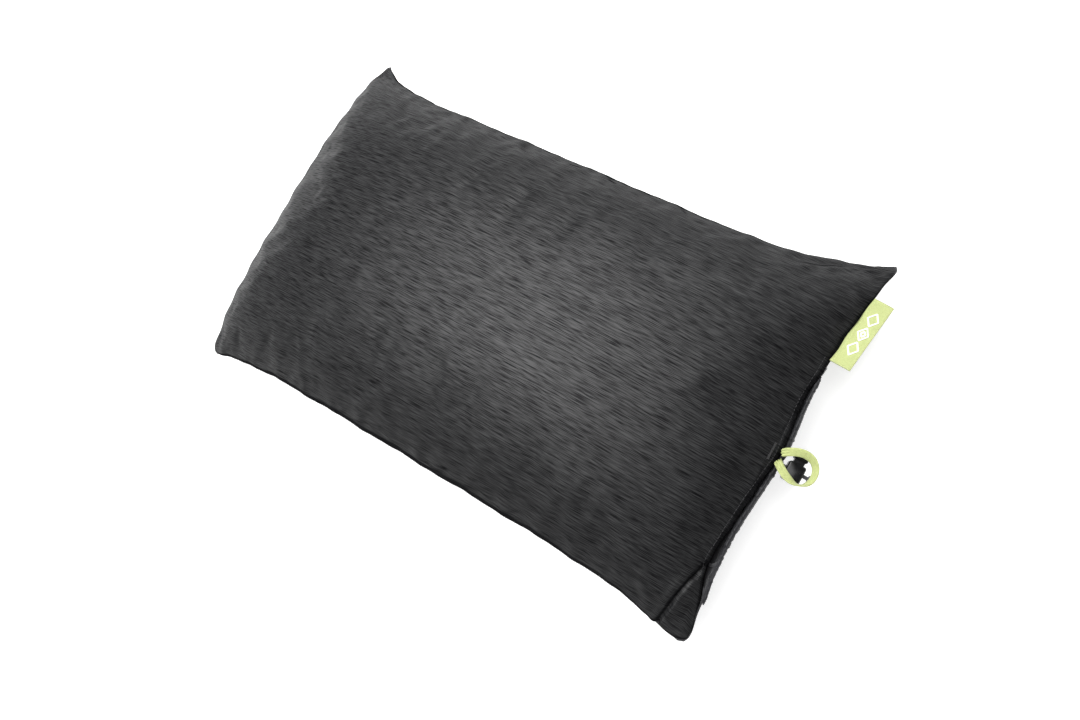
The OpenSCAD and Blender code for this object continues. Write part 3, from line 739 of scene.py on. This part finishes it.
def cloth_folds(piece, u, v, held):
    """The folds and puckers that the cloth adds. The swell as a whole is the form's own."""
    change = inflate(piece, held).reshape(*PANEL_GRID, 3)
    folds = change - soften(change, FOLD_CELLS)
    reach = np.minimum((1 - np.abs(u)) * HALF_L, (1 - np.abs(v)) * HALF_W)
    folds *= np.clip(reach / FOLD_START, 0, 1)[..., None]
    return capped(folds, FOLD_DEPTH).reshape(-1, 3)


def cover_panel(name, top, material):
    """The top or the bottom panel, before it is thickened. No point of it goes below the floor."""
    u, v = np.meshgrid(edge_biased(PANEL_GRID[0]), edge_biased(PANEL_GRID[1]), indexing="ij")
    x, y, z = dress_edges(u, v, *cover_point(u, v, top))
    z = np.maximum(z, 0)
    points = np.stack([x, y, z], -1).reshape(-1, 3)
    piece = add_piece(name, points, grid_faces(*PANEL_GRID, flip=not top), material)
    set_vector(piece.data, "param", np.stack([u, v, np.zeros_like(u)], -1).reshape(-1, 3))
    rim = (np.abs(u) > 0.9999) | (np.abs(v) > 0.9999)
    points = points + cloth_folds(piece, u, v, rim | (z <= 0))
    points[:, 2] = np.maximum(points[:, 2], 0)
    set_coords(piece.data, points)
    set_vector(piece.data, "weave", weave_along(points.reshape(*PANEL_GRID, 3)))
    finer = piece.modifiers.new("finer", "SUBSURF")
    finer.levels = finer.render_levels = 1
    finer.boundary_smooth = "PRESERVE_CORNERS"
    bake_modifiers(piece)
    return piece


def thicken(piece):
    """Gives a panel the fabric's thickness, on its inner side."""
    shell = piece.modifiers.new("shell", "SOLIDIFY")
    shell.thickness = FABRIC
    shell.offset = -1
    bake_modifiers(piece)


def push(piece, amount):
    """Moves each point along its own normal by amount, one value a point."""
    mesh = piece.data
    normals = np.zeros(len(mesh.vertices) * 3)
    mesh.vertex_normals.foreach_get("vector", normals)
    set_coords(mesh, coords(mesh) + normals.reshape(-1, 3) * amount[:, None])


def line_gap(points, a, b):
    """Signed distance from the line a-b in plan, and the share of the way along it."""
    a, b = np.array(a), np.array(b)
    along = (b - a) / np.linalg.norm(b - a)
    offset = points[:, :2] - a
    return offset @ np.array([-along[1], along[0]]), offset @ along / np.linalg.norm(b - a)


def top_details(piece):
    """The tuck at the slit end's front corner, the pull of the hem's stitches and the ear's ripples."""
    points = coords(piece.data)
    params = get_vector(piece.data, "param")
    # the tuck: a sharp fold from the end of the slit to the front seam, with a soft roll beside it
    gap, share = line_gap(points, lip(SLIT_FRONT + 9 * MM).xy, (HALF_L - 27 * MM, -HALF_W - 2 * MM))
    on = np.clip(share / 0.08, 0, 1) * np.clip((1.02 - share) / 0.1, 0, 1)
    amount = on * (bell(gap, -4 * MM, 2.6 * MM, 1.0 * MM) - bell(gap, 0, 1.1 * MM, 2.6 * MM))
    # the stitches draw a shallow line parallel to the hem
    inward = HALF_L - END_INSET - points[:, 0]
    hem = slit_share(points[:, 1]) ** 0.25 * (params[:, 0] > 0.9)
    amount -= hem * bell(inward, 3.2 * MM, 0.9 * MM, 0.45 * MM)
    # ripples that fan out from the back corner of the slit end
    corner = np.array([HALF_L, HALF_W])
    away = np.linalg.norm(points[:, :2] - corner, axis=1)
    bearing = np.arctan2(corner[1] - points[:, 1], corner[0] - points[:, 0])
    fan = bell(away, 48 * MM, 26 * MM, 1.3 * MM) * bell(bearing, 0.25, 0.35, 1)
    amount += fan * np.sin(bearing * 26)
    push(piece, amount)


def make_cover():
    """The knit top panel and the plain underside."""
    top = cover_panel("knit_top", True, heather_knit())
    top_details(top)
    thicken(top)
    finish_piece(top, "pillow", "heather_knit", "cover_top_panel")
    bottom = cover_panel("shell_underside", False, shell_fabric())
    open_window(bottom)
    thicken(bottom)
    finish_piece(bottom, "pillow", "shell_fabric", "cover_bottom_panel")


def open_window(piece):
    """Cuts the round opening over the valve out of the underside."""
    low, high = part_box("valve_facing")
    centre = (low + high) / 2
    mesh = bmesh.new()
    mesh.from_mesh(piece.data)
    inside = [f for f in mesh.faces if (f.calc_center_median().xy - centre.xy).length < VALVE_WINDOW]
    bmesh.ops.delete(mesh, geom=inside, context="FACES")
    for edge in [e for e in mesh.edges if e.is_boundary]:
        for vert in edge.verts:
            flat = vert.co.xy - centre.xy
            if flat.length < VALVE_WINDOW * 1.25:
                vert.co.xy = centre.xy + flat.normalized() * VALVE_WINDOW
    mesh.to_mesh(piece.data)
    mesh.free()


# ---- Stitching ----

STITCH_RINGS = 6
STITCH_SIDES = 6


def stitch_row(name, points, normals, length, gap, radius, material):
    """Separate stitches along a path: short arcs of thread that dip into the cloth at both ends."""
    frames = path_frames(points)
    run = run_along(frames)
    grid = np.array([tuple(f[0]) for f in frames])
    up = np.array([tuple(n) for n in normals])

    def at(s, values):
        return np.array([np.interp(s, run, values[:, k]) for k in range(3)])

    verts, faces = [], []
    start = gap
    while start + length < run[-1]:
        base = len(verts)
        for t in np.linspace(0, 1, STITCH_RINGS):
            s = start + length * t
            lift = radius * (1.3 * math.sin(math.pi * t) - 0.3)
            middle = Vector(at(s, grid) + at(s, up) * lift)
            travel = Vector(at(s + 1e-4, grid) - at(s, grid)).normalized()
            high = Vector(at(s, up)).normalized()
            side = travel.cross(high)
            verts += [middle + radius * (math.cos(a) * side + math.sin(a) * high)
                      for a in np.linspace(0, TURN, STITCH_SIDES, endpoint=False)]
        ends = range(STITCH_SIDES)
        faces += [tuple(base + i for i in f) for f in grid_faces(STITCH_RINGS, STITCH_SIDES, True)]
        faces.append(tuple(base + i for i in reversed(ends)))
        faces.append(tuple(base + (STITCH_RINGS - 1) * STITCH_SIDES + i for i in ends))
        start += length + gap
    return add_piece(name, verts, faces, material)


def thread_bar(name, centre, along, across, up, length, width, turns, radius, material):
    """A bartack: thread laid back and forth across a bar."""
    points = []
    for k in range(turns * 2 + 1):
        t = k / (turns * 2) - 0.5
        side = 1 if k % 2 else -1
        points.append(centre + along * t * length + across * side * width / 2 - up * radius * 0.4)
        points.append(centre + along * (t + 0.25 / turns) * length + up * radius * 1.1)
    return tube(name, smooth_path(points[:-1], 3), radius, material, 6)


# ---- Slit ----

LIP_FRONT = -115 * MM           # the nylon runs on past the slit's front end, under the ear's edge
LIP_SIDES = 22
LIP_HEIGHT = 1.3 * MM           # half a lip's height at the slit's ends
LIP_GROWTH = 0.19               # how much of the opening is added to it half way along


def channel_middle(y, share):
    """A point in the slit between its upper lip (share 0) and its lower one (share 1)."""
    upper, lower = lip(y, True), lip(y, False)
    middle = (upper + lower) / 2
    open_share = float(slit_share(y))
    inner, outer = upper.x - 3.4 * MM, lower.x + (0.5 + 1.2 * open_share) * MM
    return Vector((inner + (outer - inner) * share, y, middle.z))


def channel_tube(name, node, material, share, thick, ys, seed):
    """A drawcord channel: a soft nylon tube along one lip, gathered in fine folds by its cord."""
    phases = np.random.default_rng(seed).uniform(0, TURN, 5)
    rings, weave = [], []
    for y in ys:
        open_share = float(slit_share(y))
        end_taper = min(1.0, (ys[0] - y + 1 * MM) / (6 * MM), (y - ys[-1] + 1 * MM) / (6 * MM))
        narrow = max(0.2, end_taper) ** 0.5
        centre = channel_middle(y, share)
        swell = 1 + 0.12 * math.sin(y / (9 * MM) + phases[4])
        half_x = thick * swell * (0.55 + 0.45 * open_share) * narrow
        half_z = (LIP_HEIGHT + LIP_GROWTH * SLIT_OPEN * open_share) * narrow
        gather = 0.13 * math.sin(y / (0.75 * MM) + phases[0] + 2 * math.sin(y / (7 * MM)))
        gather += 0.08 * math.sin(y / (0.43 * MM) + phases[1])
        gather += 0.11 * math.sin(y / (2.1 * MM) + phases[2])
        ring = []
        for k in range(LIP_SIDES):
            a = TURN * k / LIP_SIDES
            fold = 1 + gather * (0.6 + 0.4 * math.cos(3 * a + phases[3] + y / (11 * MM)))
            ring.append(centre + Vector((math.cos(a) * half_x * fold, 0, math.sin(a) * half_z * fold)))
            weave.append((y, k * 0.6 * MM, 0))
        rings.append(ring)
    piece = sweep(name, rings, material)
    set_vector(piece.data, "weave", weave)
    finish_piece(piece, "pillow", "channel_nylon", node)


def make_hem_stitches():
    """The topstitching of the hem, laid on the cover's own surface."""
    top = bpy.data.objects["knit_top"]
    points, normals = [], []
    for y in np.linspace(SLIT_BACK + 12 * MM, SLIT_FRONT - 6 * MM, 160):
        x = lip(float(np.clip(y, SLIT_FRONT, SLIT_BACK))).x - 2.6 * MM
        hit, place, normal, _ = top.ray_cast(Vector((x, y, 2 * HEIGHT)), Vector((0, 0, -1)))
        if hit:
            points.append(place)
            normals.append(normal)
    dark = thread("hem_thread", (0.018, 0.018, 0.02), (0.045, 0.045, 0.048))
    row = stitch_row("hem_stitches", points, normals, 1.9 * MM, 0.8 * MM, 0.13 * MM, dark)
    finish_piece(row, "pillow", "dark_thread")


def make_slit_tacks():
    """A bar of thread across each end of the slit."""
    dark = thread("tack_thread", (0.006, 0.006, 0.007), (0.02, 0.02, 0.022))
    bars = []
    for k, y in enumerate((SLIT_BACK + 3 * MM, SLIT_FRONT - 1 * MM)):
        place = (lip(y, True) + lip(y, False)) / 2 + Vector((0.5 * MM, 0, 0))
        along = (lip(y + 3 * MM) - lip(y - 3 * MM)).normalized()
        bars.append(thread_bar(f"slit_tack_{k}", place, along, Vector((0, 0, 1)), Vector((1, 0, 0)),
                               6 * MM, 1.8 * MM, 9, 0.2 * MM, dark))
    finish_piece(join_pieces("slit_tacks", bars), "pillow", "dark_thread", "slit_bartacks")


def make_slit():
    """The slit's two nylon lips, its hem's stitches and its tacks."""
    nylon = ripstop_nylon()
    lower_ys = np.linspace(SLIT_BACK - 1 * MM, LIP_FRONT, 420)
    upper_ys = np.linspace(SLIT_BACK - 6 * MM, SLIT_FRONT + 4 * MM, 330)
    channel_tube("lower_lip", "lower_cord_channel", nylon, 1.0, 1.9 * MM, lower_ys, 7)
    channel_tube("upper_lip", "upper_cord_channel", nylon, 0.0, 1.7 * MM, upper_ys, 11)
    make_hem_stitches()
    make_slit_tacks()


# ---- Loop ----

LOOP_WIDTH = 5.6 * MM
LOOP_THICK = 0.8 * MM
LOOP_STEPS = 170
LOOP_PLEATED = 0.15             # the share of its length that each end is pleated over


def make_loop():
    """The ribbon loop: it leaves its seam pleated, twists, and lies level over the lock."""
    low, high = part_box("pull_loop")
    root = Vector((joints["loop_swing"]["pos_m"][0] - 0.8 * MM, (low.y + high.y) / 2, (low.z + high.z) / 2))
    reach = high.x - root.x - LOOP_WIDTH / 2 - 0.5 * MM
    half = (high.y - low.y) / 2 - LOOP_WIDTH * 0.45

    def line(t):
        """The middle of the ribbon, as t goes from 0 at one sewn end to 1 at the other."""
        a = TURN * min(1, max(0, t))
        along = (1 - math.cos(a)) / 2
        belly = math.sin(a) * math.sin(a / 2) * 1.3
        wide = half * belly + 2.9 * MM * math.cos(a / 2) - 1.8 * MM * along
        droop = -2.2 * MM * along ** 2 + 1.2 * MM * math.sin(math.pi * along)
        lean = 0.5 * MM * math.sin(a)
        return root + Vector((reach * along, wide, droop + lean))

    # the ribbon's section: across its upper face and back across its lower one
    section = [(k, 1) for k in np.linspace(-1, 1, 17)] + [(k, -1) for k in np.linspace(1, -1, 17)]
    rings, weave, run = [], [], 0.0
    for i in range(LOOP_STEPS + 1):
        t = i / LOOP_STEPS
        travel = (line(t + 0.004) - line(t - 0.004)).normalized()
        flat = Vector((0, 0, 1)).cross(travel).normalized()
        up = travel.cross(flat).normalized()
        near_root = max(0.0, 1 - min(t, 1 - t) / LOOP_PLEATED)
        tilt = math.radians(14 + 24 * math.sin(math.pi * t) ** 2 + bell(t, 0.66, 0.08, 40))
        tilt *= 1 - 0.8 * near_root
        side = math.cos(tilt) * flat + math.sin(tilt) * up
        normal = travel.cross(side).normalized()
        half_width = LOOP_WIDTH * (1 - 0.06 * near_root) / 2
        ring = []
        for across, face in section:
            edge = 1 - 0.35 * abs(across) ** 6
            pleat = 0.45 * MM * near_root ** 0.7 * math.cos(across * math.pi * 3)
            lift = face * LOOP_THICK / 2 * edge + pleat
            ring.append(line(t) + side * across * half_width + normal * lift)
            weave.append((run, across * half_width, 0))
        rings.append(ring)
        run += (line(t + 1 / LOOP_STEPS) - line(t)).length
    piece = sweep("ribbon_loop", rings, grosgrain(), flip=True)
    set_vector(piece.data, "weave", weave)
    finish_piece(piece, "loop", "loop_ribbon", "pull_loop")


def make_loop_tack():
    """The bar of thread over the loop's sewn ends."""
    low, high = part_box("loop_bartack")
    bar = thread_bar("loop_tack", (low + high) / 2, Vector((0, 1, 0)), Vector((0.78, 0, -0.62)),
                     Vector((0.62, 0, 0.78)), high.y - low.y, 1.5 * MM, 13, 0.2 * MM,
                     bpy.data.materials["tack_thread"])
    finish_piece(bar, "pillow", "loop_ribbon", "loop_bartack")


# ---- Label ----

LABEL_HALF = 0.45 * MM          # half its folded thickness
LABEL_SEWN = 2.5 * MM           # how far it runs into the seam
LABEL_ROWS = 61
MARK_RADIUS = 0.55 * MM
MARK_STEP = 0.4 * MM
# the motif's open diamonds: their middle along the label, and half their size along and across it
DIAMONDS = ((-12.5 * MM, 5.4 * MM, 3.7 * MM), (0, 5.4 * MM, 3.7 * MM), (12.5 * MM, 5.4 * MM, 3.7 * MM),
            (0, 2.2 * MM, 1.5 * MM))


def make_label():
    """A folded satin label along the end seam, with a plain motif of open diamonds."""
    low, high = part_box("side_label")
    depth = high.x - low.x + 0.4 * MM
    ends = [lip(y) for y in (low.y - 0.5 * MM, high.y + 2 * MM)]
    length = (ends[1] - ends[0]).length
    along = (ends[1] - ends[0]).normalized()
    out = (Vector((1, 0, 0)) - along * along.x).normalized()
    up = out.cross(along)
    root = (ends[0] + ends[1]) / 2 + up * 1.2 * MM

    def place(s, d, h):
        """The point s along the label, d out from its seam and h over its middle, which sags a little."""
        sag = 0.5 * MM * math.sin((s / length + 0.5) * math.pi * 1.4 + 0.6)
        return root + along * s + out * d + up * (h + sag * max(0, d / depth) ** 1.5)

    fold = depth - LABEL_HALF
    profile = [(-LABEL_SEWN, LABEL_HALF)] + [(d * fold, LABEL_HALF) for d in np.linspace(0, 1, 12)]
    profile += [(fold + LABEL_HALF * math.sin(a), LABEL_HALF * math.cos(a))
                for a in np.linspace(0.4, math.pi - 0.4, 6)]
    profile += [(d * fold, -LABEL_HALF) for d in np.linspace(1, 0, 12)] + [(-LABEL_SEWN, -LABEL_HALF)]
    rows = np.linspace(-0.5, 0.5, LABEL_ROWS) * length
    piece = sweep("woven_label", [[place(s, d, h) for d, h in profile] for s in rows], damask(), flip=True)
    set_vector(piece.data, "weave", [(s, d, 0) for s in rows for d, h in profile])
    finish_piece(piece, "label", "label_weave", "side_label")

    white = thread("white_thread", (0.78, 0.79, 0.74), (0.93, 0.93, 0.90))
    marks = []
    for k, (middle, long, deep) in enumerate(DIAMONDS):
        corners = [(long, 0), (0, deep), (-long, 0), (0, -deep), (long, 0)]
        outline = smooth_outline([(middle + s, depth * 0.52 + d) for s, d in corners])
        path = [place(s, d, LABEL_HALF) for s, d in outline]
        marks.append(tube(f"diamond_{k}", path, MARK_RADIUS, white, 8))
    finish_piece(join_pieces("label_motif", marks), "label", "label_weave")

    lime = thread("label_thread", (0.40, 0.46, 0.17), (0.55, 0.61, 0.28))
    edge = [place(s, 1.4 * MM, LABEL_HALF + 0.05 * MM) for s in np.linspace(-0.48, 0.48, 60) * length]
    row = stitch_row("label_stitches", edge, [up] * len(edge), 1.8 * MM, 0.8 * MM, 0.14 * MM, lime)
    finish_piece(row, "label", "label_weave")


def smooth_outline(points):
    """The same outline, with more points along its straight parts."""
    out = []
    for (a, b), (c, d) in zip(points, points[1:]):
        n = max(1, int(math.hypot(c - a, d - b) / MARK_STEP))
        out += [(a + (c - a) * k / n, b + (d - b) * k / n) for k in range(n)]
    return out + [points[-1]]


# ---- Cord and lock ----

CORD_RADIUS = 1.1 * MM
STRAND_RISE = 1.15 * MM         # how far each strand lies over or under the middle of its hole
KNOT_STEPS = 90


def cord_route(start, way, over, run):
    """The cord's path: from the knot in through the eyelet, once round the slit and out again."""
    outside = [run, run * 0.5, 1.5 * MM]
    inside = Vector((start.x - 3 * MM, start.y, start.z))
    sunk = Vector((-1.5 * MM, 0, -2.6 * MM))

    def lift(y):
        """How far a strand still lies off its channel's middle, near the eyelet."""
        return Vector((0, 0, STRAND_RISE * max(0, 1 - abs(y - start.y) / (30 * MM))))

    back_ys = np.linspace(start.y + 5 * MM, SLIT_BACK - 12 * MM, 12)
    upper_ys = np.linspace(SLIT_BACK - 12 * MM, SLIT_FRONT + 12 * MM, 24)
    front_ys = np.linspace(SLIT_FRONT + 12 * MM, start.y - 5 * MM, 18)
    route = [start + way * d + over * STRAND_RISE for d in outside]
    route.append(inside + Vector((0, 1.0 * MM, STRAND_RISE)))
    route += [channel_middle(y, 1.0) + lift(y) for y in back_ys]
    route += [channel_middle(SLIT_BACK - 8 * MM, share) for share in (0.75, 0.25)]
    route += [channel_middle(y, 0.0) for y in upper_ys]
    route += [channel_middle(SLIT_FRONT + 8 * MM, share) + sunk for share in (0.25, 0.75)]
    route += [channel_middle(y, 1.0) - lift(y) for y in front_ys]
    route.append(inside + Vector((0, -1.0 * MM, -STRAND_RISE)))
    route += [start + way * d - over * STRAND_RISE for d in reversed(outside)]
    return smooth_path(route, 5)


def make_cord():
    """The drawcord, and its end knot: three turns of the cord wound about itself."""
    strand = braid()
    way = Vector(joints["lock_slide"]["axis"]).normalized()
    side = Vector((0, 1, 0))
    over = way.cross(side)
    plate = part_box("cord_eyelet")
    start = Vector((plate[1].x + 0.4 * MM, (plate[0].y + plate[1].y) / 2, (plate[0].z + plate[1].z) / 2))
    low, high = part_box("cord_knot")
    run = ((low + high) / 2 - start).dot(way)
    cord = tube("braided_cord", cord_route(start, way, over, run), CORD_RADIUS, strand, 12)
    finish_piece(cord, "pillow", "cord", "drawcord")
    centre = (low + high) / 2 + way * 0.35 * MM
    turns = []
    for i in range(KNOT_STEPS + 1):
        a = TURN * i / KNOT_STEPS
        wide = 1.55 * MM + 0.75 * MM * math.cos(3 * a)
        turns.append(centre + side * wide * math.cos(2 * a) + over * wide * math.sin(2 * a)
                     + way * 1.1 * MM * math.sin(3 * a))
    knot = tube("end_knot", turns, 1.0 * MM, strand, 10)
    finish_piece(knot, "pillow", "cord", "cord_knot")


def make_lock():
    """The cord lock and the eyelet that its cord leaves by."""
    acetal = moulded("acetal", (0.003, 0.003, 0.0035), 0.22, 0.05, 0.3)
    for node in ("lock_body", "lock_plunger"):
        restyled(node, acetal, "lock_plastic", bevel=0.25 * MM, angle=40)
    restyled("lock_spring", steel(), "spring_steel")
    restyled("cord_eyelet", acetal, "lock_plastic", bevel=0.15 * MM)


# ---- Filling, sack and valve ----

def make_inside():
    """The foam, the air cell, the sack and the binding, all inside the cover."""
    foam = restyled("foam_topper", open_foam(), "foam", smooth_steps=2, angle=60)
    push(foam, np.full(len(foam.data.vertices), -2.2 * MM))
    film = coated()
    for node in ("cell_top_skin", "cell_bottom_skin", "baffle_front", "baffle_middle", "baffle_back"):
        restyled(node, film, "coated_fabric", angle=60)
    restyled("stow_sack", bpy.data.materials["ripstop_nylon"], "channel_nylon", angle=60)
    restyled("seam_binding", woven_tape("binding", (0.015, 0.015, 0.017), (0.05, 0.05, 0.055)),
             "shell_fabric", angle=60)


def make_valve():
    """The inflation valve on the underside, in the shapes of its CAD nodes."""
    rubber = moulded("valve_body_rubber", (0.028, 0.029, 0.032), 0.5)
    silicone = moulded("silicone", (0.5, 0.5, 0.48), 0.45)
    for node in ("valve_base", "valve_cap"):
        restyled(node, rubber, "valve_rubber", bevel=0.3 * MM)
    restyled("valve_flap", silicone, "valve_silicone", bevel=0.1 * MM)
    restyled("valve_gasket", silicone, "valve_silicone")
    restyled("valve_hinge_pin", bpy.data.materials["steel"], "spring_steel", bevel=0.15 * MM)
    restyled("valve_facing", bpy.data.materials["ripstop_nylon"], "channel_nylon", angle=60)


add_camera()
add_stage()
make_cover()
make_slit()
make_loop()
make_loop_tack()
make_label()
make_cord()
make_lock()
make_inside()
make_valve()
